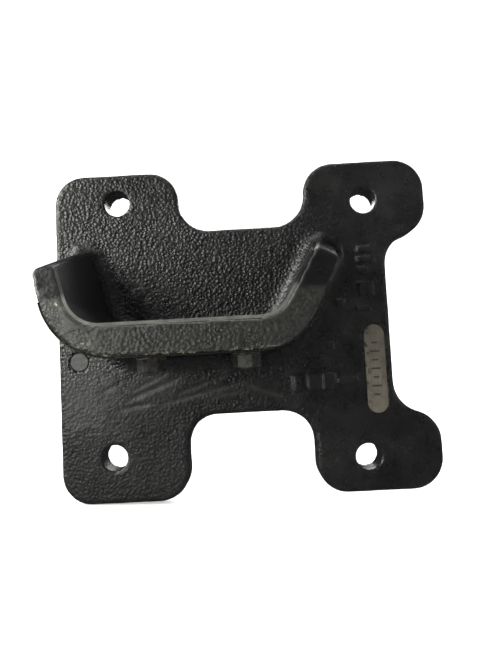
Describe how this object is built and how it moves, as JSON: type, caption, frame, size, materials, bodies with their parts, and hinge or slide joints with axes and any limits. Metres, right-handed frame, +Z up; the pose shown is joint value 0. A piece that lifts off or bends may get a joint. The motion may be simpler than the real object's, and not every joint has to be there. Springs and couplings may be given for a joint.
{
  "type": "stair gate latch keeper",
  "caption": "Fixed stair gate latch keeper: cast plate with rounded lugs and an open cradle that a gate bar drops into, with a screwed wear liner.",
  "frame": {"origin": "centre of the four-hole bolt pattern on the back mounting face", "axes": "+Z up, -Y out of the wall toward the user, +X to the user's right as they face the plate"},
  "size_m": [0.1819, 0.073, 0.1614],
  "materials": {
    "coated_iron": "gloss",
    "liner_nylon": "satin",
    "fastener_steel": "satin",
    "bare_strip": "satin",
    "plug_iron": "satin"
  },
  "bodies": {
    "root": {"casting": "coated_iron", "cradle_liner": "liner_nylon", "liner_screw_left": "fastener_steel", "liner_screw_right": "fastener_steel", "liner_washer_left": "fastener_steel", "liner_washer_right": "fastener_steel", "liner_nut_left": "fastener_steel", "liner_nut_right": "fastener_steel", "id_strip": "bare_strip", "witness_plug": "plug_iron"}
  },
  "joints": []
}
